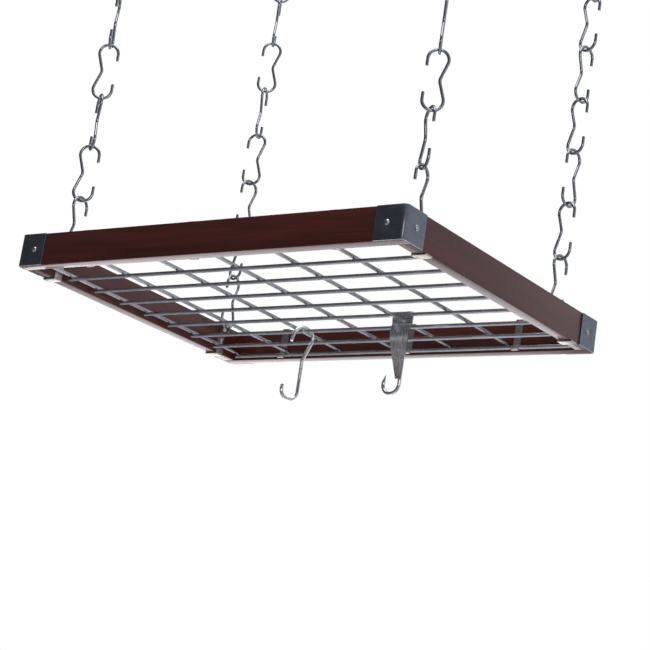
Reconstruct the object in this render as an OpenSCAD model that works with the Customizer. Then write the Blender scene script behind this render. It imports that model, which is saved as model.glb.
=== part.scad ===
// Hanging pot rack: a wooden frame with a welded wire grid, held level by four chains
// of open wire links. z = 0 is the ceiling, x = y = 0 is the middle of the rack, and
// +X runs along the long rails.

/* [Frame] */
// Length of the frame over its corner brackets, along X
frame_l = 618; // [520:1:900]
// Width of the frame over its corner brackets, along Y
frame_w = 470; // [400:1:700]
// Height of the wooden rails
rail_h = 44; // [40:1:60]
// Thickness of the wooden rails
rail_t = 18; // [16:1:26]

/* [Corner brackets] */
// Length of each leg of a corner bracket, from the frame's corner
bracket_leg = 43; // [38:1:60]
// Thickness of the bracket's sheet
bracket_t = 1.6; // [1:0.1:2.5]
// Outside radius of the bracket's bend
bracket_bend = 6; // [4:0.5:10]
// Distance of a bracket screw from the frame's corner
bracket_screw_in = 26; // [24:1:32]
// Length of the bracket screws' shanks
bracket_screw_l = 14; // [12:1:15]

/* [Screws and dowels] */
// Diameter of a screw's domed head
screw_head_d = 8; // [7:0.5:9]
// Height of a screw's domed head
screw_head_h = 2.2; // [1.5:0.1:3]
// Diameter of a screw's shank
screw_d = 3.6; // [3:0.1:4.5]
// Length of the shank of the clip and hanger screws
small_screw_l = 12; // [10:1:14]
// Diameter of the dowels in the corner joints
dowel_d = 8; // [6:0.5:8]
// Length of the dowels
dowel_l = 34; // [28:1:40]
// Distance of each dowel above and below the middle of the rail
dowel_off = 11; // [10:0.5:12]

/* [Wire grid] */
// Diameter of the grid's wires
grid_wire = 5; // [4:0.5:6]
// Number of long wires, parallel to the long rails
long_count = 9; // [7:2:13]
// Number of cross wires, parallel to the short rails
cross_count = 7; // [5:2:9]
// Height of the long wires' middle above the rails' underside
grid_rise = 5; // [4.5:0.1:8]
// Gap between a short rail and the nearest cross wire's middle
cross_inset = 8.5; // [8:0.5:14]
// How far each wire runs on past the last wire that it crosses
grid_overrun = 1.2; // [0.5:0.1:1.5]

/* [Grid clips] */
// Width of a clip's strap
clip_w = 11; // [9:0.5:14]
// Thickness of a clip's strap
clip_t = 1.5; // [1:0.1:2]
// Distance of an outer clip beyond the last cross wire but one
clip_outer = 11.7; // [9:0.1:30]
// Distance of the middle clip from the middle cross wire
clip_middle = 23; // [16:1:40]
// How far a clip lies over the top of its rail
clip_lap = 14; // [8:1:15]
// Turn of the clip's curl round the grid's outer wire
clip_turn = 205; // [180:5:220]

/* [Chain hangers] */
// Width of a hanger's strap
hanger_w = 14; // [12:0.5:18]
// Thickness of a hanger's strap
hanger_t = 2; // [1.5:0.1:2.5]
// Distance of a hanger from the frame's end, along Y
hanger_in = 64; // [60:1:90]
// Distance of the ear's hole from the rail's inner face
ear_reach = 12; // [11:0.5:16]
// Diameter of the ear's hole
ear_hole_d = 10; // [9.5:0.5:11]
// Metal between the ear's hole and its rim
ear_rim = 3.6; // [3:0.2:5]
// Height of a hanger's screw above the rail's underside
hanger_screw_z = 19; // [18:1:21]
// How far a hanger's foot runs on past the rail's outer face
foot_past = 1; // [0:0.5:1.5]

/* [Chains] */
// Length that each link adds to its chain
link_pitch = 75; // [66:1:90]
// Diameter of the links' wire
link_wire = 4.2; // [3.5:0.1:4.6]
// Width of a link's end hook, from wire middle to wire middle
link_w = 26; // [24:0.5:28]
// Offset of the waist of a link's back from the chain's line
waist_off = 5.5; // [3:0.5:8]
// Bend radius of the waist
waist_r = 12; // [8:1:14]
// Straight length at each free end of a link
link_tail = 9; // [6:0.5:12]

/* [Ceiling hooks] */
// Diameter of the ceiling hook's wire
ceiling_wire = 4.8; // [4.2:0.1:5.5]
// Drop from the ceiling to the middle of the hook's lowest wire
hook_drop = 42; // [38:1:60]
// Radius of the hook's round, at the wire's middle
ceiling_hook_r = 12; // [11:0.5:14]
// Radius of the bend from the shank into the hook
ceiling_bend_r = 8; // [6:0.5:10]
// Length of straight wire below the collar's middle
ceiling_neck = 4; // [3:0.5:6]
// How far the hook's round goes on past the upright, in degrees
ceiling_past = 25; // [10:5:40]
// Straight length at the hook's free end
ceiling_lip = 2; // [1:0.5:5]
// Length of the shank that goes into the ceiling
stud_l = 32; // [25:1:45]
// Diameter of the threaded shank
stud_d = 6; // [5:0.5:7]
// Diameter of the collar that seats against the ceiling
collar_d = 12; // [10:0.5:16]
// Height of the collar
collar_h = 2.5; // [2:0.5:4]
// Slope at the collar's lower edge
collar_edge = 1; // [0.5:0.5:1.5]

/* [Wire pot hook] */
// Diameter of the wire pot hook's wire
pot_wire = 5; // [4:0.5:5.5]
// Radius of the arch that hangs over the grid
pot_arch_r = 14.5; // [13:0.5:16]
// Length of the arch's free leg
pot_leg = 11; // [6:1:16]
// Outward slope of the free leg, in degrees
pot_flare = 12; // [0:1:15]
// Radius of the lower hook that holds a pan
pot_bight_r = 12; // [10:0.5:14]
// How far the lower hook's round goes on past half a turn, in degrees
pot_past = 10; // [0:1:20]
// Straight length at the lower hook's free end
pot_lip = 4; // [2:0.5:8]
// Drop from the arch's centre to the middle of the bend into the stem
pot_shoulder = 34; // [32:1:40]
// Radius of the bend from the shoulder into the stem
pot_stem_bend = 12; // [8:1:14]
// Straight length of the stem
pot_stem = 44; // [30:1:60]
// Offset of the stem from the middle of the arch
pot_stem_off = 3.5; // [0:0.5:5]
// Distance of the wire pot hook from the cross wire on its left
pot_gap = 13.6; // [13:0.1:30]
// Turn of the wire pot hook about its stem
pot_yaw = 60; // [56:1:66]

/* [Tapered pot hook] */
// Width of the tapered hook at the top
blade_w = 33; // [28:1:36]
// Thickness of the tapered hook's sheet
blade_t = 1.6; // [1.2:0.1:2]
// Length of the tapered hook, from the wire to the end of the neck
blade_l = 88; // [80:1:100]
// Width of the neck
neck_w = 9; // [8:0.5:10]
// Distance of the neck's front face in front of the grid wire's middle
neck_set = 2.3; // [1:0.1:3]
// Length of the short lip in front of the wire
blade_lip = 3; // [2:0.5:5]
// Length of the straight leg behind the wire
blade_leg = 10; // [6:1:14]
// Length over which the blade slants forward under the wire
blade_joggle = 14; // [10:1:20]
// Distance of the outline's left corner in from the blade's edge
waist_in = 5; // [2:0.5:8]
// Depth of the outline's left corner below the wire
waist_drop = 37; // [25:1:50]
// Diameter of the rod that makes the lower hook
rod_d = 5; // [4:0.5:5.5]
// Radius of the lower hook
rod_r = 12.5; // [11:0.5:14]
// Distance of the neck's middle in from the far side of the lower hook's round
neck_shift = 2.5; // [1:0.5:4]
// Length of rod that is welded behind the neck
rod_weld = 14; // [10:1:20]
// Length of rod between the neck's end and the lower hook
rod_below = 6; // [2:1:12]
// How far the lower hook's round goes on past half a turn, in degrees
rod_past = 12; // [0:1:20]
// Length of the rod's point
rod_point = 9; // [4:1:14]
// Straight length between the round and the point
rod_lip = 1; // [1:0.5:4]
// Gap between the tapered hook and the cross wire on its left
blade_gap = 5.4; // [3:0.1:12]

/* [Hidden] */
$fn = 64;
// Named clearances
fit = 0.1;          // between pieces screwed together
hole_fit = 0.05;    // round a shank or a dowel in its hole
clear_hole = 0.4;   // round a shank in sheet metal
hole_spare = 1;     // depth left past the end of a screw or dowel
cut = 1;            // how far a cut runs past the faces that it goes through
link_gap = 0.3;     // between crossing wires of two links
ear_gap = 0.6;      // between the last link and the ear that it carries
wire_play = 0.3;    // between a grid wire and the pot hook on it
seam = 0.05;        // radius by which a wire's straights are thinner than its bends
seam_lap = 0.5;     // how far a straight runs into a bend
weld_sink = 0.2;    // how far two crossing grid wires are pressed into each other
weld_gap = 0.02;    // between the tapered hook's neck and its rod
chamfer = 0.6;      // on the blunt end of a wire
point_d = 0.8;      // across the end of a pointed wire or screw
thread_pitch = 2;   // from ring to ring of the shank's thread
thread_depth = 0.5; // from the crest of a ring to its root
stud_point = 6;     // length of the shank's point
stud_plain = stud_l / 3; // plain length of the shank, next to the ceiling
link_count = 7;     // links in each chain
pot_row = 6;        // long wire that carries the wire pot hook, counted from the front
blade_row = 5;      // long wire that carries the tapered hook

// Heights, from the ceiling down
link_span = link_pitch + link_wire + link_gap;
first_top = -hook_drop + ceiling_wire / 2 + link_wire / 2 + link_gap;
last_bottom = first_top - link_span - (link_count - 1) * link_pitch;
ear_top = last_bottom + link_wire / 2 + ear_gap + ear_rim;
rail_z = ear_top - rail_h;
mid_z = rail_z + rail_h / 2;
grid_z = rail_z + grid_rise;
ear_hole_z = ear_top - ear_rim - ear_hole_d / 2;

// Half sizes of the frame
outer_x = frame_l / 2;
outer_y = frame_w / 2;
wood_x = outer_x - bracket_t;
wood_y = outer_y - bracket_t;
inner_x = wood_x - rail_t;
inner_y = wood_y - rail_t;
wood_round = bracket_bend - bracket_t;
side_rail_l = 2 * (inner_y - fit);

// The grid's outermost wires
edge_gap = clip_t + fit + grid_wire / 2;
long_y = inner_y - edge_gap;
cross_x = inner_x - cross_inset;
long_step = 2 * long_y / (long_count - 1);
cross_step = 2 * cross_x / (cross_count - 1);
cross_z = grid_z + grid_wire - weld_sink;

// Corners of the rack, in the order front left, front right, back right, back left
CORNERS = [[-1, -1], [1, -1], [1, 1], [-1, 1]];
CORNER_NAMES = ["front_left", "front_right", "back_right", "back_left"];
hang_x = inner_x - ear_reach;
hang_y = outer_y - hanger_in;
// Where each ceiling hook opens, in degrees from +X
HOOK_TURN = [35, 125, -10, 35];
// Where each link of the four chains opens, in degrees from +X, from the ceiling down. A
// slack twist runs along each chain, and its last link stands in line with its ear's hole.
LINK_TURN = [
    [125, 35, 305, 35, 145, 35, 90],
    [35, 125, 215, 125, 217, 327, 270],
    [260, 350, 80, 350, 260, 350, 80],
    [125, 215, 113, 200, 255, 345, 270]];
// Clips along the front rail, each clear of a cross wire; the back rail is turned round
middle_wire = (cross_count - 1) / 2;
CLIP_X = [wire_x(1) - clip_outer, wire_x(middle_wire) - clip_middle, wire_x(cross_count - 2) + clip_outer];
pot_x = wire_x(middle_wire - 1) + pot_gap;
blade_x = wire_x(middle_wire + 1) + grid_wire / 2 + blade_gap + blade_w / 2;

// Colours
wood_red = [0.27, 0.10, 0.08];
steel_dark = [0.22, 0.25, 0.28];
steel_bright = [0.72, 0.73, 0.75];
steel_plain = [0.58, 0.58, 0.57];
dowel_tan = [0.78, 0.63, 0.43];

LINKS = [for (c = [1:4], k = [1:link_count]) str("chain_", c, "_link_", k)];

// Place along X of a cross wire, counted from the left
function wire_x(i) = -cross_x + i * cross_step;

// Angle and length of the straight that joins two bends which turn opposite ways
function slant(off, drop, radii) = asin(radii / norm([off, drop])) - atan(off / drop);
function slant_l(off, drop, radii) = sqrt(off * off + drop * drop - radii * radii);

// A bent wire that starts at the origin along +Z. Each step is [length, 0] for a
// straight, or [radius, angle] for a bend, where a positive angle turns towards +X.
// The straights are a hair thinner than the bends and run a little way into them.
// tips holds the lengths of the tapered ends, past the first and the last straight.
module bent_wire(steps, d, tips, i = 0) {
    if (i == 0) mirror([0, 0, 1]) wire_tip(d, tips[0]);
    if (i == len(steps)) wire_tip(d, tips[1]);
    if (i < len(steps)) {
        size = steps[i][0];
        turn = steps[i][1];
        if (turn == 0) {
            from = i == 0 ? 0 : -seam_lap;
            to = i == len(steps) - 1 ? size : size + seam_lap;
            translate([0, 0, from]) cylinder(d = d - 2 * seam, h = to - from);
            translate([0, 0, size]) bent_wire(steps, d, tips, i + 1);
        } else {
            side = sign(turn);
            translate([side * size, 0, 0])
                mirror([side < 0 ? 1 : 0, 0, 0])
                    rotate([90, 0, 0])
                        rotate([0, 0, 180 - abs(turn)])
                            rotate_extrude(angle = abs(turn)) translate([size, 0]) circle(d = d);
            translate([side * size, 0, 0])
                rotate([0, turn, 0])
                    translate([-side * size, 0, 0])
                        bent_wire(steps, d, tips, i + 1);
        }
    }
}

// Tapered end of a wire, from z = 0 up: a chamfer if it is short, a point if it is long
module wire_tip(d, l) {
    if (l > 0) cylinder(d1 = d - 2 * seam, d2 = max(point_d, d - 2 * l), h = l);
}

// A screw whose head sits on z = 0 and whose shank points along -Z. The head is a cap
// of a sphere of radius dome, with a cross slot whose size follows the head.
module screw(l) {
    dome = (screw_head_d * screw_head_d / 4 + screw_head_h * screw_head_h) / (2 * screw_head_h);
    slot_l = screw_head_d * 0.55;
    slot_w = screw_head_d * 0.14;
    slot_floor = screw_head_h * 0.45;
    tip = screw_d;
    difference() {
        intersection() {
            translate([0, 0, screw_head_h - dome]) sphere(r = dome);
            cylinder(d = screw_head_d + cut, h = screw_head_h + cut);
        }
        for (a = [0, 90])
            rotate([0, 0, a])
                translate([-slot_l / 2, -slot_w / 2, slot_floor])
                    cube([slot_l, slot_w, screw_head_h]);
    }
    translate([0, 0, tip - l]) cylinder(d = screw_d, h = l - tip);
    translate([0, 0, -l]) cylinder(d1 = point_d, d2 = screw_d, h = tip);
}

// The hole that a screw's shank needs, from z = 0 down
module screw_hole(l) {
    translate([0, 0, -l - hole_spare])
        cylinder(d = screw_d + 2 * hole_fit, h = l + 2 * hole_spare);
}

// Puts its children, which point along +Z, on a face that looks along one axis
module facing(axis) {
    turns = axis == "-y" ? [90, 0, 0] : axis == "y" ? [-90, 0, 0] : axis == "x" ? [0, 90, 0] : [0, -90, 0];
    rotate(turns) children();
}

// A long rail's blank, with its outer face towards -Y and its outer corners rounded
module long_rail_blank() {
    steps = 8;
    left = [for (i = [0:steps]) let (a = 180 + 90 * i / steps)
        [-wood_x + wood_round + wood_round * cos(a), -wood_y + wood_round + wood_round * sin(a)]];
    right = [for (i = [0:steps]) let (a = 270 + 90 * i / steps)
        [wood_x - wood_round + wood_round * cos(a), -wood_y + wood_round + wood_round * sin(a)]];
    translate([0, 0, rail_z])
        linear_extrude(rail_h)
            polygon(concat([[-wood_x, -inner_y]], left, right, [[wood_x, -inner_y]]));
}

// The front rail; the back rail is the same rail turned half round
module long_rail() {
    color(wood_red)
        difference() {
            long_rail_blank();
            for (side = [-1, 1]) {
                translate([side * (outer_x - bracket_screw_in), -outer_y, mid_z])
                    facing("-y") screw_hole(bracket_screw_l);
                for (dz = [-dowel_off, dowel_off])
                    translate([side * (wood_x - rail_t / 2), -inner_y, mid_z + dz])
                        facing("y") mirror([0, 0, 1]) dowel_hole(dowel_in_long());
            }
            for (x = CLIP_X)
                translate([x, -inner_y + clip_t, mid_z]) facing("y") screw_hole(small_screw_l);
        }
}

// Depth of the dowels in the long rails: two thirds of the rail
function dowel_in_long() = rail_t * 2 / 3;

// A dowel's hole, from the face at z = 0 up into the wood
module dowel_hole(depth) {
    translate([0, 0, -hole_spare])
        cylinder(d = dowel_d + 2 * hole_fit, h = depth + 2 * hole_spare);
}

// The right-hand short rail; the left one is its mirror image
module short_rail() {
    color(wood_red)
        difference() {
            translate([inner_x, -side_rail_l / 2, rail_z]) cube([rail_t, side_rail_l, rail_h]);
            for (side = [-1, 1]) {
                translate([outer_x, side * (outer_y - bracket_screw_in), mid_z])
                    facing("x") screw_hole(bracket_screw_l);
                for (dz = [-dowel_off, dowel_off])
                    translate([wood_x - rail_t / 2, side * side_rail_l / 2, mid_z + dz])
                        facing(side > 0 ? "-y" : "y") dowel_hole(dowel_l - dowel_in_long());
                translate([inner_x - hanger_t, side * (hang_y + hanger_screw_y()), rail_z + hanger_screw_z])
                    facing("-x") screw_hole(small_screw_l);
            }
        }
}

// Where the hanger's screw stands beside the ear: in the middle of what the ear leaves free
function hanger_screw_y() = hanger_w / 2;

// The bracket of the front left corner
module corner_bracket() {
    color(steel_dark)
        translate([-outer_x, -outer_y, rail_z])
            difference() {
                union() {
                    translate([bracket_bend, 0, 0]) cube([bracket_leg - bracket_bend, bracket_t, rail_h]);
                    translate([0, bracket_bend, 0]) cube([bracket_t, bracket_leg - bracket_bend, rail_h]);
                    translate([bracket_bend, bracket_bend, 0])
                        rotate([0, 0, 180])
                            rotate_extrude(angle = 90)
                                translate([bracket_bend - bracket_t, 0]) square([bracket_t, rail_h]);
                }
                for (turn = [0, 1])
                    mirror([turn, -turn, 0])
                        translate([bracket_screw_in, -cut, rail_h / 2])
                            rotate([-90, 0, 0])
                                cylinder(d = screw_d + 2 * clear_hole, h = bracket_t + 2 * cut);
            }
}

module bracket_screws() {
    color(steel_bright)
        for (c = CORNERS) {
            translate([c[0] * (outer_x - bracket_screw_in), c[1] * (outer_y + fit), mid_z])
                facing(c[1] < 0 ? "-y" : "y") screw(bracket_screw_l);
            translate([c[0] * (outer_x + fit), c[1] * (outer_y - bracket_screw_in), mid_z])
                facing(c[0] < 0 ? "-x" : "x") screw(bracket_screw_l);
        }
}

module corner_dowels() {
    color(dowel_tan)
        for (c = CORNERS, dz = [-dowel_off, dowel_off])
            translate([c[0] * (wood_x - rail_t / 2), c[1] * (inner_y + dowel_in_long()), mid_z + dz])
                facing(c[1] < 0 ? "y" : "-y") cylinder(d = dowel_d, h = dowel_l);
}

// The grid's lower layer of wires, along X
module grid_long_wires() {
    half = cross_x + grid_wire / 2 + grid_overrun;
    color(steel_bright)
        for (i = [0:long_count - 1])
            translate([-half, -long_y + i * long_step, grid_z])
                rotate([0, 90, 0]) cylinder(d = grid_wire, h = 2 * half);
}

// The grid's upper layer of wires, along Y, welded to the lower layer at each crossing
module grid_cross_wires() {
    half = long_y + grid_wire / 2 + grid_overrun - fit;
    color(steel_bright)
        for (i = [0:cross_count - 1])
            translate([wire_x(i), -half, cross_z])
                rotate([-90, 0, 0]) cylinder(d = grid_wire, h = 2 * half);
}

// A clip on the front rail: over the top, down the inner face and under the outer wire
module grid_clip(x) {
    curl_r = edge_gap;
    color(steel_plain)
        translate([x - clip_w / 2, -inner_y, rail_z])
            difference() {
                union() {
                    translate([0, -clip_lap, rail_h]) cube([clip_w, clip_lap, clip_t]);
                    translate([0, 0, grid_rise]) cube([clip_w, clip_t, rail_h + clip_t - grid_rise]);
                    translate([0, curl_r, grid_rise])
                        rotate([90, 0, 90])
                            rotate([0, 0, 180])
                                rotate_extrude(angle = clip_turn)
                                    translate([curl_r - clip_t, 0]) square([clip_t, clip_w]);
                }
                translate([clip_w / 2, -cut, rail_h / 2])
                    rotate([-90, 0, 0]) cylinder(d = screw_d + 2 * clear_hole, h = clip_t + 2 * cut);
            }
}

module clip_screws() {
    color(steel_bright)
        for (turn = [0, 180])
            rotate([0, 0, turn])
                for (x = CLIP_X)
                    translate([x, -inner_y + clip_t + fit, mid_z]) facing("y") screw(small_screw_l);
}

// The hanger of the front left corner: a strap up the inner face and under the rail,
// with an ear folded square to it that takes the chain's last link
module hanger() {
    ear_r = ear_hole_d / 2 + ear_rim;
    foot = rail_t + foot_past;
    color(steel_plain)
        translate([-inner_x, -hang_y, rail_z])
            difference() {
                union() {
                    translate([0, -hanger_w + hanger_t / 2, -hanger_t])
                        cube([hanger_t, hanger_w, rail_h - ear_rim + hanger_t]);
                    translate([-foot, -hanger_w + hanger_t / 2, -hanger_t])
                        cube([foot, hanger_w, hanger_t]);
                    translate([hanger_t, -hanger_t / 2, ear_hole_z - ear_r - rail_z])
                        cube([ear_reach - hanger_t, hanger_t, 2 * ear_r]);
                    translate([ear_reach, hanger_t / 2, ear_hole_z - rail_z])
                        rotate([90, 0, 0])
                            rotate([0, 0, -90])
                                rotate_extrude(angle = 180) square([ear_r, hanger_t]);
                }
                translate([ear_reach, -hanger_t, ear_hole_z - rail_z])
                    rotate([-90, 0, 0]) cylinder(d = ear_hole_d, h = 2 * hanger_t);
                translate([-cut, -hanger_screw_y(), hanger_screw_z])
                    rotate([0, 90, 0]) cylinder(d = screw_d + 2 * clear_hole, h = hanger_t + 2 * cut);
            }
}

module hanger_screws() {
    color(steel_bright)
        for (c = CORNERS)
            translate([c[0] * (inner_x - hanger_t - fit), c[1] * (hang_y + hanger_screw_y()),
                       rail_z + hanger_screw_z])
                facing(c[0] < 0 ? "x" : "-x") screw(small_screw_l);
}

// A screw hook in the ceiling, on the z axis, opening towards +X
module ceiling_hook() {
    centre_z = -hook_drop + ceiling_hook_r;
    start_z = -collar_h / 2;
    drop = start_z - centre_z - ceiling_neck;
    radii = ceiling_bend_r + ceiling_hook_r;
    a = slant(ceiling_bend_r, drop, radii);
    turns = floor((stud_l - stud_point - stud_plain) / thread_pitch);
    crest = stud_d / 2;
    root = crest - thread_depth;
    color(steel_dark) {
        rotate_extrude()
            polygon(concat(
                [[0, -collar_h], [collar_d / 2 - collar_edge, -collar_h],
                 [collar_d / 2, collar_edge - collar_h], [collar_d / 2, 0], [crest, 0], [crest, stud_plain]],
                [for (i = [0:turns - 1], e = [0, 1])
                    [e == 0 ? root : crest, stud_plain + (i + (1 + e) / 2) * thread_pitch]],
                [[root, stud_l - stud_point], [point_d / 2, stud_l], [0, stud_l]]));
        translate([0, 0, start_z])
            rotate([180, 0, 0])
                bent_wire([
                    [ceiling_neck, 0],
                    [ceiling_bend_r, -a],
                    [slant_l(ceiling_bend_r, drop, radii), 0],
                    [ceiling_hook_r, 180 + a + ceiling_past],
                    [ceiling_lip, 0]], ceiling_wire, [0, chamfer]);
    }
}

// One chain link, standing in the XZ plane about its middle, opening towards +X
module chain_link() {
    r = link_w / 2;
    centre_z = link_span / 2 - r;
    off = waist_off + waist_r;
    a = slant(off, centre_z, r + waist_r);
    s = slant_l(off, centre_z, r + waist_r);
    color(steel_dark)
        translate([r, 0, centre_z - link_tail])
            bent_wire([[link_tail, 0], [r, -180 - a], [s, 0], [waist_r, 2 * a], [s, 0],
                       [r, -180 - a], [link_tail, 0]], link_wire, [chamfer, chamfer]);
}

// Link k of chain c, counted from the ceiling
module link_in_place(c, k) {
    corner = CORNERS[c - 1];
    translate([corner[0] * hang_x, corner[1] * hang_y, first_top - link_span / 2 - (k - 1) * link_pitch])
        rotate([0, 0, LINK_TURN[c - 1][k - 1]]) chain_link();
}

// The wire pot hook: an arch over a long wire, a stem and a lower hook
module wire_pot_hook() {
    top = (grid_wire + pot_wire) / 2 + wire_play;
    off = pot_stem_bend + pot_stem_off;
    radii = pot_arch_r + pot_stem_bend;
    a = slant(off, pot_shoulder, radii);
    color(steel_bright)
        translate([pot_x, -long_y + pot_row * long_step, grid_z])
            rotate([0, 0, pot_yaw])
                translate([0, 0, top - pot_arch_r])
                    rotate([0, pot_flare, 0])
                        translate([-pot_arch_r, 0, -pot_leg])
                            bent_wire([
                                [pot_leg, 0],
                                [pot_arch_r, 180 - pot_flare + a],
                                [slant_l(off, pot_shoulder, radii), 0],
                                [pot_stem_bend, -a],
                                [pot_stem, 0],
                                [pot_bight_r, 180 + pot_past],
                                [pot_lip, 0]], pot_wire, [chamfer, chamfer]);
}

// Section of the tapered hook across the wire, then its outline along the wire
module blade_section() {
    r = grid_wire / 2 + wire_play;
    set_end = blade_leg + blade_joggle;
    translate([0, 0, -blade_w]) {
        rotate_extrude(angle = 180) translate([r, blade_w / 2]) square([blade_t, blade_w]);
        translate([-r - blade_t, -blade_lip, blade_w / 2]) cube([blade_t, blade_lip, blade_w]);
        translate([r, -blade_leg, blade_w / 2]) cube([blade_t, blade_leg, blade_w]);
        translate([0, 0, blade_w / 2])
            linear_extrude(blade_w)
                polygon([[r, -blade_leg], [r + blade_t, -blade_leg], [blade_t - neck_set, -set_end],
                         [blade_t - neck_set, -blade_l], [-neck_set, -blade_l], [-neck_set, -set_end]]);
    }
}

module tapered_hook_blade() {
    reach = grid_wire + wire_play + 2 * blade_t;
    half = blade_w / 2;
    neck_l = neck_x() - neck_w / 2;
    neck_r = neck_x() + neck_w / 2;
    color(steel_bright)
        translate([blade_x, -long_y + blade_row * long_step, grid_z])
            intersection() {
                rotate([90, 0, 90]) blade_section();
                translate([0, reach, 0])
                    rotate([90, 0, 0])
                        linear_extrude(2 * reach)
                            polygon([[-half, reach], [half, reach], [half, 0], [neck_r, -blade_l],
                                     [neck_l, -blade_l], [waist_in - half, -waist_drop], [-half, 0]]);
            }
}

// The neck stands near the far side of the lower hook's round
function neck_x() = rod_r - neck_shift;

// The rod runs up behind the neck, where it is welded, and ends in a pointed hook
module tapered_hook_rod() {
    color(steel_bright)
        translate([blade_x + neck_x(),
                   -long_y + blade_row * long_step - neck_set + blade_t + rod_d / 2 + weld_gap,
                   grid_z - blade_l + rod_weld])
            rotate([180, 0, 0])
                bent_wire([[rod_weld + rod_below, 0], [rod_r, -180 - rod_past], [rod_lip, 0]],
                          rod_d, [chamfer, rod_point]);
}

long_rail();  // rail_front
rotate([0, 0, 180]) long_rail();  // rail_back
mirror([1, 0, 0]) short_rail();  // rail_left
short_rail();  // rail_right
for (i = [0:3])
    mirror([CORNERS[i][0] > 0 ? 1 : 0, 0, 0])
            mirror([0, CORNERS[i][1] > 0 ? 1 : 0, 0])
                corner_bracket();
bracket_screws();
corner_dowels();
grid_long_wires();
grid_cross_wires();
for (i = [1:3])
    grid_clip(CLIP_X[i - 1]);
for (i = [1:3])
    rotate([0, 0, 180]) grid_clip(CLIP_X[3 - i]);
clip_screws();
for (i = [0:3])
    mirror([CORNERS[i][0] > 0 ? 1 : 0, 0, 0])
            mirror([0, CORNERS[i][1] > 0 ? 1 : 0, 0])
                hanger();
hanger_screws();
for (i = [0:3])
    translate([CORNERS[i][0] * hang_x, CORNERS[i][1] * hang_y, 0])
            rotate([0, 0, HOOK_TURN[i]]) ceiling_hook();
for (c = [1:4], k = [1:link_count])
    link_in_place(c, k);
wire_pot_hook();
tapered_hook_blade();
tapered_hook_rod();
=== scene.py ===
import math

import bmesh
import bpy
from bpy.props import FloatProperty, FloatVectorProperty, IntProperty, PointerProperty
from mathutils import Matrix, Vector


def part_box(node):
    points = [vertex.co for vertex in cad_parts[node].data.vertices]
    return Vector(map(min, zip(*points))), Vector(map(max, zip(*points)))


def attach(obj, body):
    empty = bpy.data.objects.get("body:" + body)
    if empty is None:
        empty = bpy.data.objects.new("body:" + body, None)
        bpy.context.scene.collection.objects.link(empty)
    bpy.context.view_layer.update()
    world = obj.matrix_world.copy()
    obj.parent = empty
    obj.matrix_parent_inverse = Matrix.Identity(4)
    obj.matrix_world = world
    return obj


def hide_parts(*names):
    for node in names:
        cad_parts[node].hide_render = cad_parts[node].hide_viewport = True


bl_info = {
    "name": "Hanging Pot Rack",
    "version": (1, 0, 0),
    "blender": (4, 5, 0),
    "location": "3D View > Sidebar > Pot Rack",
    "description": "Finishes a wooden pot rack that hangs on chains of wire links",
    "category": "Object",
}

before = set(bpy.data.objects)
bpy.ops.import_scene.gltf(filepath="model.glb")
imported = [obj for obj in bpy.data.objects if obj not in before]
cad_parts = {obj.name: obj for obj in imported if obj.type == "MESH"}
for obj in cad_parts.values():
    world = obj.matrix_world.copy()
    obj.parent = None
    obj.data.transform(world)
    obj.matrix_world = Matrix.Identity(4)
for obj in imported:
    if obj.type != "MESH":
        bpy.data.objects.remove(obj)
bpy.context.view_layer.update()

SAME_POINT = 0.000002
NEAR = 0.00001
RUN_END = 0.001  # from the end of a weld run to the end of the joint

CORNERS = ("front_left", "front_right", "back_right", "back_left")
CHAINS = (1, 2, 3, 4)
RACK = "rack"


def length_property(name, description, default):
    """A size that the sidebar shows as a length."""
    return FloatProperty(
        name=name, description=description, default=default, min=0.0, unit="LENGTH", precision=5
    )


def angle_property(name, description, degrees):
    """An angle, with its default in degrees."""
    return FloatProperty(
        name=name, description=description, default=math.radians(degrees), subtype="ANGLE"
    )


def colour_property(name, description, default):
    """A finish's colour."""
    return FloatVectorProperty(
        name=name, description=description, default=default, subtype="COLOR", size=3, min=0.0, max=1.0
    )


def factor_property(name, description, default):
    """A share between 0 and 1."""
    return FloatProperty(
        name=name, description=description, default=default, min=0.0, max=1.0, subtype="FACTOR"
    )


class PotRackSizes(bpy.types.PropertyGroup):
    """Small sizes that a maker adds to the bare frame."""

    rail_edge: length_property("Rail edge", "Radius of the eased edges of the rails", 0.0011)
    rail_corner: length_property("Rail corner", "Radius of the rails' corners under the brackets", 0.0044)
    sheet_edge: length_property("Sheet edge", "Radius of the deburred edges of sheet metal", 0.00025)
    screw_edge: length_property("Screw edge", "Radius of the screws' eased edges", 0.00012)
    bead: length_property("Weld bead", "Radius of the bead where two grid wires are welded", 0.0027)
    hook_bead: length_property("Hook bead", "Radius of the weld ripples on the tapered hook", 0.0013)
    hook_ripples: IntProperty(name="Hook ripples", description="Ripples in each weld run", default=7, min=2)
    long_wires: IntProperty(
        name="Long wires", description="Grid wires along the long rails", default=9, min=2
    )
    cross_wires: IntProperty(
        name="Cross wires", description="Grid wires along the short rails", default=7, min=2
    )


class PotRackFinishes(bpy.types.PropertyGroup):
    """Colours and gloss of the rack's materials."""

    stain: colour_property("Stain", "Red-brown of the stained wood", (0.118, 0.021, 0.012))
    stain_dark: colour_property("Dark stain", "Stain in the grain's dark lines", (0.074, 0.014, 0.009))
    bracket: colour_property("Bracket", "Dark nickel of the corner brackets", (0.20, 0.23, 0.27))
    plating: colour_property("Plating", "Bright plating on the wires and screws", (0.55, 0.57, 0.60))
    links: colour_property("Links", "Plating on the chain links", (0.36, 0.38, 0.41))
    strip: colour_property("Strip", "Plated strip of the clips and hangers", (0.56, 0.53, 0.48))
    polish: colour_property("Polish", "Polished steel of the pot hooks", (0.90, 0.90, 0.91))
    lacquer: factor_property("Lacquer", "Strength of the clear coat on the wood", 0.30)


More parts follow.
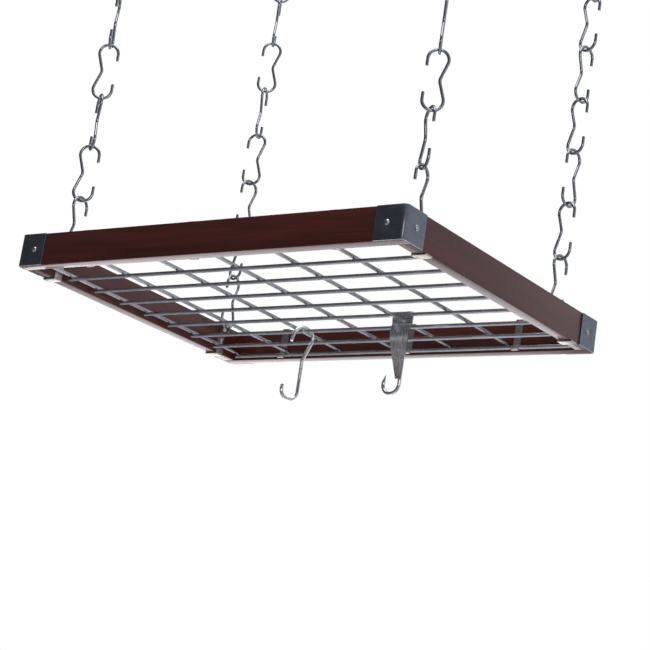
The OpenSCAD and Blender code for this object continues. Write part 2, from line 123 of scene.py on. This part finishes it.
class PotRackStage(bpy.types.PropertyGroup):
    """Camera, lights and floor."""

    azimuth: angle_property("Azimuth", "Camera's direction round the rack", 37.6)
    elevation: angle_property("Elevation", "Camera's height as an angle", -14.8)
    roll: angle_property("Roll", "Camera's turn about its own axis", 8.73)
    lens: FloatProperty(name="Lens", description="Focal length in millimetres", default=113.24, min=10.0)
    distance: length_property("Distance", "Camera's distance from the point it looks at", 2.713)
    aim: FloatVectorProperty(
        name="Aim", description="Where the camera looks, from the middle of the frame's underside",
        default=(0.0198, 0.0205, -0.0153), subtype="TRANSLATION", unit="LENGTH", precision=5,
    )
    floor_drop: length_property("Floor drop", "Height of the ceiling over the floor", 2.35)


# ---------------------------------------------------------------- modelling helpers


def deselect_all():
    """Leaves object mode with nothing selected."""
    if bpy.context.mode != "OBJECT":
        bpy.ops.object.mode_set(mode="OBJECT")
    bpy.ops.object.select_all(action="DESELECT")


def pick(*pieces):
    """Selects these objects only, and makes the first one active."""
    deselect_all()
    for piece in pieces:
        piece.select_set(True)
    bpy.context.view_layer.objects.active = pieces[0]


def settle(piece, name):
    """Names a piece and puts its place, turn and size into its mesh."""
    piece.name = name
    piece.data.name = name
    pick(piece)
    bpy.ops.object.transform_apply(location=True, rotation=True, scale=True)


def select_parts(piece, mode, keep):
    """In edit mode, selects the vertices, edges or faces that keep() wants."""
    pick(piece)
    bpy.ops.object.mode_set(mode="EDIT")
    bpy.ops.mesh.select_mode(type=mode)
    bpy.ops.mesh.select_all(action="DESELECT")
    mesh = bmesh.from_edit_mesh(piece.data)
    parts = {"VERT": mesh.verts, "EDGE": mesh.edges, "FACE": mesh.faces}[mode]
    for part in parts:
        if keep(part):
            part.select_set(True)
    mesh.select_flush_mode()
    bmesh.update_edit_mesh(piece.data)


def bevel_selected(width, segments):
    """Bevels the edges that are selected, and goes back to object mode."""
    bpy.ops.mesh.bevel(offset=width, segments=segments, affect="EDGES", profile=0.5)
    bpy.ops.object.mode_set(mode="OBJECT")


def shade(piece, degrees=35.0):
    """Smooth shading, broken where the surface turns sharply."""
    pick(piece)
    bpy.ops.object.shade_smooth_by_angle(angle=math.radians(degrees))


def ease_edges(piece, width, segments, degrees=35.0, material_index=-1):
    """Rounds every sharp edge with an applied Bevel modifier."""
    pick(piece)
    bevel = piece.modifiers.new("Eased edges", "BEVEL")
    bevel.width = width
    bevel.segments = segments
    bevel.limit_method = "ANGLE"
    bevel.angle_limit = math.radians(degrees)
    bevel.material = material_index
    bevel.harden_normals = False
    bpy.ops.object.modifier_apply(modifier=bevel.name)


def merged_copy(node, name):
    """A copy of a frame node as one closed mesh, free of the node's own marks."""
    pick(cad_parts[node])
    bpy.ops.object.duplicate()
    piece = bpy.context.view_layer.objects.active
    piece.parent = None
    for key in list(piece.keys()):
        del piece[key]
    settle(piece, name)
    piece.data.materials.clear()
    bpy.ops.mesh.customdata_custom_splitnormals_clear()
    bpy.ops.object.mode_set(mode="EDIT")
    bpy.ops.mesh.select_all(action="SELECT")
    bpy.ops.mesh.remove_doubles(threshold=SAME_POINT)
    bpy.ops.mesh.tris_convert_to_quads(
        face_threshold=math.radians(1), shape_threshold=math.radians(180)
    )
    bpy.ops.object.mode_set(mode="OBJECT")
    return piece


def join(name, pieces):
    """Joins pieces into one object."""
    pick(*pieces)
    bpy.ops.object.join()
    piece = bpy.context.view_layer.objects.active
    settle(piece, name)
    return piece


def hand_over(piece, body, slot, *nodes):
    """Puts a finished piece on its body, in place of the plain nodes."""
    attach(piece, body)
    if nodes:
        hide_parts(*nodes)


# ---------------------------------------------------------------- material helpers


def new_finish(name, **settings):
    """A material whose Principled shader starts with these constant settings."""
    material = bpy.data.materials.new(name)
    material.use_nodes = True
    shader = material.node_tree.nodes["Principled BSDF"]
    for socket, value in settings.items():
        shader.inputs[socket.replace("_", " ")].default_value = value
    return material, shader


def node_of(material, kind, **settings):
    """Adds a node, and sets its properties or, where it has none, its inputs."""
    node = material.node_tree.nodes.new(kind)
    for key, value in settings.items():
        socket = key.replace("_", " ")
        if socket in node.inputs:
            node.inputs[socket].default_value = value
        else:
            setattr(node, key, value)
    return node


def wire(material, source, target):
    """Links one socket to another."""
    material.node_tree.links.new(source, target)


def noise(material, stretch, scale, detail=4.0, roughness=0.55):
    """Noise on Object coordinates, stretched by a factor for each axis."""
    place = node_of(material, "ShaderNodeTexCoord")
    mapping = node_of(material, "ShaderNodeMapping", Scale=stretch)
    texture = node_of(material, "ShaderNodeTexNoise", Scale=scale, Detail=detail, Roughness=roughness)
    wire(material, place.outputs["Object"], mapping.inputs["Vector"])
    wire(material, mapping.outputs["Vector"], texture.inputs["Vector"])
    return texture.outputs["Fac"]


def ramp(material, source, *stops):
    """Colours along a value, as (position, colour) stops."""
    node = node_of(material, "ShaderNodeValToRGB")
    band = node.color_ramp
    while len(band.elements) < len(stops):
        band.elements.new(0.5)
    for element, (position, colour) in zip(band.elements, stops):
        element.position = position
        element.color = (*colour, 1.0)
    wire(material, source, node.inputs["Fac"])
    return node.outputs["Color"]


def spread(material, source, low, high, start=0.3, stop=0.7):
    """A value moved from start..stop to low..high."""
    node = node_of(material, "ShaderNodeMapRange")
    for socket, value in (("From Min", start), ("From Max", stop), ("To Min", low), ("To Max", high)):
        node.inputs[socket].default_value = value
    wire(material, source, node.inputs["Value"])
    return node.outputs["Result"]


def mixed(material, factor, first, second, blend="MIX"):
    """Two colours mixed by a factor, which may be a number or a socket."""
    node = node_of(material, "ShaderNodeMix", data_type="RGBA", blend_type=blend)
    for socket, value in ((node.inputs[0], factor), (node.inputs[6], first), (node.inputs[7], second)):
        if isinstance(value, bpy.types.NodeSocket):
            wire(material, value, socket)
        elif isinstance(value, float):
            socket.default_value = value
        else:
            socket.default_value = (*value, 1.0)
    return node.outputs[2]


def raise_surface(material, shader, height, distance, strength=1.0, under=None):
    """Bump from a height value; distance is in metres."""
    bump = node_of(material, "ShaderNodeBump", Strength=strength, Distance=distance)
    wire(material, height, bump.inputs["Height"])
    if under is not None:
        wire(material, under, bump.inputs["Normal"])
    wire(material, bump.outputs["Normal"], shader.inputs["Normal"])
    return bump.outputs["Normal"]


def shade_of(colour, factor):
    """A colour made darker or lighter."""
    return tuple(min(1.0, channel * factor) for channel in colour)


def cherry_wood(name, along):
    """Stained wood under clear lacquer, with its grain along one axis."""
    finishes = bpy.context.scene.pot_rack_finishes
    material, shader = new_finish(
        name, Coat_Weight=finishes.lacquer, Coat_Roughness=0.09, Coat_IOR=1.5, IOR=1.48,
        Specular_IOR_Level=0.4,
    )
    long, across = 1.0, 16.0
    stretch = tuple(long if axis == along else across for axis in "XYZ")
    fine = tuple(long * 2.0 if axis == along else across * 9.0 for axis in "XYZ")
    pores = tuple(long * 7.0 if axis == along else across * 26.0 for axis in "XYZ")
    bands = noise(material, stretch, 5.0, 5.0, 0.6)
    lines = noise(material, fine, 6.0, 6.0, 0.7)
    pits = noise(material, pores, 5.0, 2.0, 0.5)
    base = ramp(
        material, bands, (0.30, finishes.stain_dark),
        (0.48, shade_of(finishes.stain, 0.85)), (0.72, shade_of(finishes.stain, 1.3)),
    )
    streak = ramp(material, lines, (0.35, (0.50, 0.46, 0.44)), (0.62, (1.0, 1.0, 1.0)))
    grained = mixed(material, 0.75, base, streak, "MULTIPLY")
    pit_shade = ramp(material, pits, (0.28, (0.45, 0.4, 0.38)), (0.40, (1.0, 1.0, 1.0)))
    wire(material, mixed(material, 0.6, grained, pit_shade, "MULTIPLY"), shader.inputs["Base Color"])
    wire(material, spread(material, lines, 0.30, 0.46), shader.inputs["Roughness"])
    ripple = noise(material, (1.0, 1.0, 1.0), 22.0, 2.0, 0.5)
    soft = raise_surface(material, shader, ripple, 0.0006, 0.12)
    raise_surface(material, shader, lines, 0.00012, 0.35, soft)
    return material


def plated(name, colour, low, high, scale=420.0, dull=0.8):
    """Plated metal: bright, with faint clouding and a slightly uneven skin."""
    material, shader = new_finish(name, Metallic=1.0)
    cloud = noise(material, (1.0, 1.0, 1.0), 38.0, 5.0, 0.6)
    grit = noise(material, (1.0, 1.0, 1.0), scale, 3.0, 0.6)
    tint = ramp(material, cloud, (0.30, shade_of(colour, dull)), (0.62, colour))
    wire(material, tint, shader.inputs["Base Color"])
    wire(material, spread(material, grit, low, high), shader.inputs["Roughness"])
    raise_surface(material, shader, grit, 0.00001, 0.1)
    return material


def brushed(name, colour, low, high, stretch, dull=0.75):
    """Metal with fine lines from an abrasive belt; stretch is small along the lines."""
    material, shader = new_finish(name, Metallic=1.0)
    lines = noise(material, stretch, 60.0, 5.0, 0.65)
    cloud = noise(material, (1.0, 1.0, 1.0), 30.0, 4.0, 0.6)
    tint = ramp(material, lines, (0.32, shade_of(colour, dull)), (0.66, shade_of(colour, 1.08)))
    smudge = ramp(material, cloud, (0.35, (0.82, 0.82, 0.83)), (0.60, (1.0, 1.0, 1.0)))
    wire(material, mixed(material, 0.6, tint, smudge, "MULTIPLY"), shader.inputs["Base Color"])
    wire(material, spread(material, cloud, low, high), shader.inputs["Roughness"])
    raise_surface(material, shader, lines, 0.00005, 0.3)
    return material


def beech(name):
    """Plain pale dowel wood."""
    material, shader = new_finish(name)
    flecks = noise(material, (40.0, 4.0, 40.0), 8.0, 4.0, 0.6)
    tint = ramp(material, flecks, (0.35, (0.42, 0.27, 0.14)), (0.60, (0.62, 0.45, 0.27)))
    wire(material, tint, shader.inputs["Base Color"])
    wire(material, spread(material, flecks, 0.5, 0.65), shader.inputs["Roughness"])
    return material


def shared(name, make, *settings):
    """One material for all pieces that share a finish."""
    return bpy.data.materials.get(name) or make(name, *settings)


def bright_plating():
    """The skin of the grid wires and screws."""
    return shared("bright_plating", plated, bpy.context.scene.pot_rack_finishes.plating, 0.14, 0.26)


def link_plating():
    """The skin of the chain links and ceiling hooks."""
    return shared("link_plating", plated, bpy.context.scene.pot_rack_finishes.links, 0.10, 0.22)


def strip_plating():
    """The satin skin of the clips and hangers."""
    colour = bpy.context.scene.pot_rack_finishes.strip
    return shared("strip_plating", brushed, colour, 0.24, 0.38, (1.2, 1.2, 9.0))


def worn_edge():
    """Sheet-metal edges painted lighter than their faces, as a painted highlight."""
    # the plating made lighter, to paint a highlight along the edges
    colour = shade_of(bpy.context.scene.pot_rack_finishes.plating, 1.25)
    return shared("worn_edge", plated, colour, 0.22, 0.34)


# ---------------------------------------------------------------- pieces


def dress(node, material):
    """Gives a frame node its finish, and leaves its shape as it is."""
    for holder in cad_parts[node].material_slots:
        holder.material = material


def between(lo, hi, share):
    """A point part of the way from one corner of a box to the other."""
    return tuple(a + (b - a) * s for a, b, s in zip(lo, hi, share))


def model_rail(node, along):
    """A square-sawn rail with eased edges, rounder where a bracket folds over it."""
    sizes = bpy.context.scene.pot_rack_sizes
    lo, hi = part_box(node)
    deselect_all()
    bpy.ops.mesh.primitive_cube_add(size=1.0, location=between(lo, hi, (0.5, 0.5, 0.5)), scale=hi - lo)
    piece = bpy.context.object
    settle(piece, node + "_lacquered")
    if along == "X":
        outer = lo.y if node == "rail_front" else hi.y
        upright = lambda e: abs(e.verts[0].co.z - e.verts[1].co.z) > NEAR
        select_parts(piece, "EDGE", lambda e: upright(e) and abs(e.verts[0].co.y - outer) < NEAR)
        bevel_selected(sizes.rail_corner, 6)
    ease_edges(piece, sizes.rail_edge, 3, 50.0)
    pick(piece)
    bpy.ops.object.mode_set(mode="EDIT")
    bpy.ops.mesh.select_all(action="SELECT")
    bpy.ops.mesh.normals_make_consistent(inside=False)
    bpy.ops.object.mode_set(mode="OBJECT")
    shade(piece, 40.0)
    piece.data.materials.append(shared("cherry_along_" + along.lower(), cherry_wood, along))
    hand_over(piece, RACK, "cherry_wood", node)


class POT_RACK_OT_rails(bpy.types.Operator):
    """Models the four lacquered rails"""

    bl_idname = "pot_rack.rails"
    bl_label = "Rails"

    def execute(self, context):
        for side in ("front", "back"):
            model_rail("rail_" + side, "X")
        for side in ("left", "right"):
            model_rail("rail_" + side, "Y")
        return {"FINISHED"}


class POT_RACK_OT_dowels(bpy.types.Operator):
    """Gives the hidden dowels their plain beech"""

    bl_idname = "pot_rack.dowels"
    bl_label = "Dowels"

    def execute(self, context):
        dress("corner_dowels", shared("beech", beech))
        return {"FINISHED"}


class POT_RACK_OT_brackets(bpy.types.Operator):
    """Finishes the folded corner brackets, with a painted highlight on their eased edges"""

    bl_idname = "pot_rack.brackets"
    bl_label = "Corner brackets"

    def execute(self, context):
        finishes = context.scene.pot_rack_finishes
        skin = shared("dark_nickel", brushed, finishes.bracket, 0.26, 0.42, (1.5, 1.5, 12.0))
        for corner in CORNERS:
            piece = merged_copy("bracket_" + corner, f"bracket_{corner}_plated")
            piece.data.materials.append(skin)
            # second slot: the painted edge highlight, given to the bevels below
            piece.data.materials.append(worn_edge())
            ease_edges(piece, context.scene.pot_rack_sizes.sheet_edge, 2, 40.0, 1)
            shade(piece)
            hand_over(piece, RACK, "bracket_steel", "bracket_" + corner)
        return {"FINISHED"}


class POT_RACK_OT_screws(bpy.types.Operator):
    """Finishes the domed cross-slot screws"""

    bl_idname = "pot_rack.screws"
    bl_label = "Screws"

    def execute(self, context):
        for node in ("bracket_screws", "clip_screws", "hanger_screws"):
            piece = merged_copy(node, node + "_plated")
            piece.data.materials.append(bright_plating())
            ease_edges(piece, context.scene.pot_rack_sizes.screw_edge, 2, 50.0)
            shade(piece)
            hand_over(piece, RACK, "screw_steel", node)
        return {"FINISHED"}


def model_wire(name, along, length, radius):
    """A straight wire through the origin, with its sheared ends slightly domed."""
    turn = (0.0, math.pi / 2, 0.0) if along == "X" else (math.pi / 2, 0.0, 0.0)
    deselect_all()
    bpy.ops.mesh.primitive_cylinder_add(vertices=28, radius=radius, depth=length, rotation=turn)
    piece = bpy.context.object
    settle(piece, name)
    axis = "XYZ".index(along)
    at_end = lambda v: abs(abs(v.co[axis]) - length / 2) < NEAR
    select_parts(piece, "EDGE", lambda e: at_end(e.verts[0]) and at_end(e.verts[1]))
    bevel_selected(radius * 0.4, 4)
    return piece


def copy_to(piece, name, offset):
    """A copy with its own mesh, moved by an offset."""
    pick(piece)
    bpy.ops.object.duplicate()
    copy = bpy.context.view_layer.objects.active
    copy.location = offset
    settle(copy, name)
    return copy


def model_bead(radius):
    """A flattened weld bead, pinched where the electrodes pressed."""
    deselect_all()
    bpy.ops.mesh.primitive_uv_sphere_add(segments=14, ring_count=8, radius=radius, scale=(1.0, 1.0, 0.42))
    piece = bpy.context.object
    settle(piece, "bead")
    select_parts(piece, "VERT", lambda v: abs(v.co.x) > radius * 0.75 or abs(v.co.y) > radius * 0.75)
    bpy.ops.transform.resize(value=(0.9, 0.9, 1.0))
    bpy.ops.object.mode_set(mode="OBJECT")
    return piece


def evenly(half, count):
    """Places from -half to half, evenly apart."""
    return [half * (2 * i / (count - 1) - 1) for i in range(count)]


class POT_RACK_OT_grid(bpy.types.Operator):
    """Models the wire grid with its weld beads"""

    bl_idname = "pot_rack.grid"
    bl_label = "Wire grid"

    def execute(self, context):
        sizes = context.scene.pot_rack_sizes
        long_lo, long_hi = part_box("grid_long_wires")
        cross_lo, cross_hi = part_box("grid_cross_wires")
        radius = (long_hi.z - long_lo.z) / 2
        low_z, high_z = long_lo.z + radius, cross_hi.z - radius
        rows = evenly(long_hi.y - radius, sizes.long_wires)
        columns = evenly(cross_hi.x - radius, sizes.cross_wires)
        long_wire = model_wire("long_wire", "X", long_hi.x - long_lo.x, radius)
        cross_wire = model_wire("cross_wire", "Y", cross_hi.y - cross_lo.y, radius)
        bead = model_bead(sizes.bead)
        parts = [copy_to(long_wire, "row", (0.0, y, low_z)) for y in rows]
        parts += [copy_to(cross_wire, "column", (x, 0.0, high_z)) for x in columns]
        seam_z = (low_z + high_z) / 2
        parts += [copy_to(bead, "weld", (x, y, seam_z)) for x in columns for y in rows]
        grid = join("welded_grid", parts)
        for pattern in (long_wire, cross_wire, bead):
            bpy.data.objects.remove(pattern)
        shade(grid, 45.0)
        grid.data.materials.append(bright_plating())
        hand_over(grid, RACK, "grid_wire", "grid_long_wires", "grid_cross_wires")
        return {"FINISHED"}


def finish_sheet(node, slot, body, edge):
    """A sheet-metal piece: the frame's shape with deburred edges that carry a painted highlight."""
    piece = merged_copy(node, node + "_plated")
    piece.data.materials.append(strip_plating())
    # second slot: the painted edge highlight, given to the bevels below
    piece.data.materials.append(worn_edge())
    ease_edges(piece, edge, 2, 40.0, 1)
    shade(piece)
    hand_over(piece, body, slot, node)


class POT_RACK_OT_clips(bpy.types.Operator):
    """Finishes the clips that hold the grid"""

    bl_idname = "pot_rack.clips"
    bl_label = "Grid clips"

    def execute(self, context):
        for side in ("front", "back"):
            for number in (1, 2, 3):
                edge = context.scene.pot_rack_sizes.sheet_edge
                finish_sheet(f"grid_clip_{side}_{number}", "clip_steel", RACK, edge)
        return {"FINISHED"}


class POT_RACK_OT_hangers(bpy.types.Operator):
    """Finishes the hangers that take the chains"""

    bl_idname = "pot_rack.hangers"
    bl_label = "Chain hangers"

    def execute(self, context):
        for number in CHAINS:
            edge = context.scene.pot_rack_sizes.sheet_edge
            finish_sheet(f"hanger_{number}", "hanger_steel", RACK, edge)
        return {"FINISHED"}


class POT_RACK_OT_chains(bpy.types.Operator):
    """Finishes the open wire links of the four chains"""

    bl_idname = "pot_rack.chains"
    bl_label = "Chains"

    def execute(self, context):
        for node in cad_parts:
            if node.startswith("chain_"):
                dress(node, link_plating())
        return {"FINISHED"}


class POT_RACK_OT_ceiling_hooks(bpy.types.Operator):
    """Finishes the screw hooks in the ceiling"""

    bl_idname = "pot_rack.ceiling_hooks"
    bl_label = "Ceiling hooks"

    def execute(self, context):
        for number in CHAINS:
            dress(f"ceiling_hook_{number}", link_plating())
        return {"FINISHED"}


class POT_RACK_OT_wire_pot_hook(bpy.types.Operator):
    """Finishes the wire pot hook"""

    bl_idname = "pot_rack.wire_pot_hook"
    bl_label = "Wire pot hook"

    def execute(self, context):
        polish = context.scene.pot_rack_finishes.polish
        dress("wire_pot_hook", shared("hook_chrome", plated, polish, 0.06, 0.14))
        return {"FINISHED"}


def model_hook_weld(body, material):
    """Two rippled weld runs that hold the rod to the tapered hook's neck."""
    blade_lo, blade_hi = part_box("tapered_hook_blade")
    rod_lo, rod_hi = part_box("tapered_hook_rod")
    rod_radius = (rod_hi.y - rod_lo.y) / 2
    rod_x = rod_hi.x - rod_radius
    sizes = bpy.context.scene.pot_rack_sizes
    bead_radius, ripples = sizes.hook_bead, sizes.hook_ripples
    low, high = blade_lo.z + RUN_END, rod_hi.z - RUN_END
    deselect_all()
    bpy.ops.mesh.primitive_uv_sphere_add(
        segments=12, ring_count=8, radius=bead_radius, scale=(1.0, 0.7, 1.1)
    )
    bead = bpy.context.object
    settle(bead, "ripple")
    seam_y = rod_lo.y + bead_radius * 0.35
    parts = []
    for side in (-1, 1):
        for i in range(ripples):
            z = low + (high - low) * i / (ripples - 1)
            parts.append(copy_to(bead, "ripple_run", (rod_x + side * rod_radius * 0.62, seam_y, z)))
    weld = join("tapered_hook_weld", parts)
    bpy.data.objects.remove(bead)
    shade(weld, 60.0)
    weld.data.materials.append(material)
    hand_over(weld, body, "pot_hook_steel")


class POT_RACK_OT_tapered_pot_hook(bpy.types.Operator):
    """Finishes the tapered sheet hook, its rod and the weld between them"""

    bl_idname = "pot_rack.tapered_pot_hook"
    bl_label = "Tapered pot hook"

    def execute(self, context):
        body = "tapered_pot_hook"
        polish = context.scene.pot_rack_finishes.polish
        skin = shared("hook_polish", brushed, polish, 0.12, 0.22, (9.0, 9.0, 0.8), 0.55)
        dress("tapered_hook_blade", skin)
        dress("tapered_hook_rod", skin)
        model_hook_weld(body, bright_plating())
        return {"FINISHED"}


# ---------------------------------------------------------------- stage


def rack_centre():
    """The middle of the frame at the height of its underside."""
    lo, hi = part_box("rail_front")
    return Vector(((lo.x + hi.x) / 2, 0.0, lo.z))


LIGHTS = (
    # name, place from the rack's centre, size, power, colour
    ("window", (-1.7, 1.9, 0.7), 1.6, 26.0, (0.96, 0.98, 1.0)),
    ("overhead", (0.2, -0.6, 2.0), 1.6, 22.0, (1.0, 1.0, 1.0)),
    ("fill", (2.4, -2.6, 0.5), 0.9, 12.0, (1.0, 0.96, 0.92)),
    ("under", (0.0, 0.2, -1.7), 2.2, 11.0, (0.95, 0.96, 1.0)),
    ("low window", (-1.9, 2.4, -0.85), 1.8, 15.0, (0.98, 0.97, 1.0)),
)
# Share of the way from the dark side to the bright side, and the backdrop's light there
WORLD_BAND = ((0.0, 0.11), (0.40, 0.17), (0.62, 0.40), (1.0, 0.72))
BRIGHT_SIDE = (0.72, 0.66, -0.12)


def place_camera(stage):
    """Looks up at the rack from below its front right corner."""
    a, e = stage.azimuth, stage.elevation
    back = Vector((math.sin(a) * math.cos(e), -math.cos(a) * math.cos(e), math.sin(e)))
    level_right = Vector((math.cos(a), math.sin(a), 0.0))
    level_up = back.cross(level_right)
    right = level_right * math.cos(stage.roll) + level_up * math.sin(stage.roll)
    up = level_up * math.cos(stage.roll) - level_right * math.sin(stage.roll)
    aim = rack_centre() + Vector(stage.aim)
    bpy.ops.object.camera_add()
    camera = bpy.context.object
    turn = Matrix((right, up, back)).transposed().to_4x4()
    camera.matrix_world = Matrix.Translation(aim + back * stage.distance) @ turn
    camera.data.lens = stage.lens
    camera.data.sensor_width = 36.0
    camera.data.clip_start, camera.data.clip_end = 0.05, 60.0
    bpy.context.scene.camera = camera


def soft_light(name, offset, size, power, colour):
    """A square area light that faces the rack."""
    target = rack_centre()
    place = target + Vector(offset)
    bpy.ops.object.light_add(type="AREA", location=place)
    light = bpy.context.object
    light.name = name
    light.rotation_euler = (target - place).to_track_quat("-Z", "Y").to_euler()
    light.data.shape = "SQUARE"
    light.data.size = size
    light.data.energy = power
    light.data.color = colour


def studio_world():
    """A white backdrop whose light comes mostly from behind and to the right."""
    world = bpy.data.worlds.new("studio")
    world.use_nodes = True
    bpy.context.scene.world = world
    tree = world.node_tree
    nodes, links = tree.nodes, tree.links
    nodes.clear()
    place = nodes.new("ShaderNodeTexCoord")
    bright_side = nodes.new("ShaderNodeVectorMath")
    bright_side.operation = "DOT_PRODUCT"
    bright_side.inputs[1].default_value = Vector(BRIGHT_SIDE).normalized()
    band = nodes.new("ShaderNodeValToRGB")
    while len(band.color_ramp.elements) < len(WORLD_BAND):
        band.color_ramp.elements.new(0.5)
    for element, (position, level) in zip(band.color_ramp.elements, WORLD_BAND):
        element.position = position
        element.color = (level * 0.96, level * 0.97, level * 1.04, 1.0)
    shift = nodes.new("ShaderNodeMapRange")
    shift.inputs["From Min"].default_value = -1.0
    lit = nodes.new("ShaderNodeBackground")
    seen = nodes.new("ShaderNodeBackground")
    seen.inputs["Color"].default_value = (1.0, 1.0, 1.0, 1.0)
    sight = nodes.new("ShaderNodeLightPath")
    mix = nodes.new("ShaderNodeMixShader")
    out = nodes.new("ShaderNodeOutputWorld")
    links.new(place.outputs["Generated"], bright_side.inputs[0])
    links.new(bright_side.outputs["Value"], shift.inputs["Value"])
    links.new(shift.outputs["Result"], band.inputs["Fac"])
    links.new(band.outputs["Color"], lit.inputs["Color"])
    links.new(sight.outputs["Is Camera Ray"], mix.inputs["Fac"])
    links.new(lit.outputs["Background"], mix.inputs[1])
    links.new(seen.outputs["Background"], mix.inputs[2])
    links.new(mix.outputs["Shader"], out.inputs["Surface"])


def lay_floor(stage):
    """A pale floor at room height."""
    material, shader = new_finish("pale_floor", Roughness=0.7)
    mottle = noise(material, (1.0, 1.0, 1.0), 3.0, 4.0, 0.5)
    wire(material, ramp(material, mottle, (0.3, (0.74, 0.74, 0.75)), (0.7, (0.8, 0.8, 0.81))),
         shader.inputs["Base Color"])
    deselect_all()
    bpy.ops.mesh.primitive_plane_add(size=7.0, location=(0.0, 0.0, -stage.floor_drop))
    floor = bpy.context.object
    settle(floor, "floor")
    floor.data.materials.append(material)


class POT_RACK_OT_stage(bpy.types.Operator):
    """Sets the camera, the soft lights, the backdrop and the floor"""

    bl_idname = "pot_rack.stage"
    bl_label = "Stage"

    def execute(self, context):
        stage = context.scene.pot_rack_stage
        context.scene.view_settings.view_transform = "Standard"
        deselect_all()
        place_camera(stage)
        studio_world()
        lay_floor(stage)
        for light in LIGHTS:
            soft_light(*light)
        return {"FINISHED"}


class POT_RACK_PT_panel(bpy.types.Panel):
    """Lists the rack's steps, sizes and finishes"""

    bl_label = "Hanging Pot Rack"
    bl_idname = "POT_RACK_PT_panel"
    bl_space_type = "VIEW_3D"
    bl_region_type = "UI"
    bl_category = "Pot Rack"

    def draw(self, context):
        column = self.layout.column()
        for operator in OPERATORS:
            column.operator(operator.bl_idname)
        for group in (getattr(context.scene, name) for name in GROUPS):
            column.separator()
            for key in group.bl_rna.properties.keys():
                if key not in ("rna_type", "name"):
                    column.prop(group, key)


OPERATORS = (
    POT_RACK_OT_stage,
    POT_RACK_OT_rails,
    POT_RACK_OT_dowels,
    POT_RACK_OT_brackets,
    POT_RACK_OT_screws,
    POT_RACK_OT_grid,
    POT_RACK_OT_clips,
    POT_RACK_OT_hangers,
    POT_RACK_OT_chains,
    POT_RACK_OT_ceiling_hooks,
    POT_RACK_OT_wire_pot_hook,
    POT_RACK_OT_tapered_pot_hook,
)
GROUPS = {
    "pot_rack_sizes": PotRackSizes,
    "pot_rack_finishes": PotRackFinishes,
    "pot_rack_stage": PotRackStage,
}


def register():
    for kind in (*GROUPS.values(), *OPERATORS, POT_RACK_PT_panel):
        bpy.utils.register_class(kind)
    for name, group in GROUPS.items():
        setattr(bpy.types.Scene, name, PointerProperty(type=group))


def unregister():
    for name in GROUPS:
        delattr(bpy.types.Scene, name)
    for kind in reversed((*GROUPS.values(), *OPERATORS, POT_RACK_PT_panel)):
        bpy.utils.unregister_class(kind)


def main():
    register()
    for operator in OPERATORS:
        step = operator.bl_idname.split(".")[1]
        getattr(bpy.ops.pot_rack, step)()


if __name__ == "__main__":
    main()
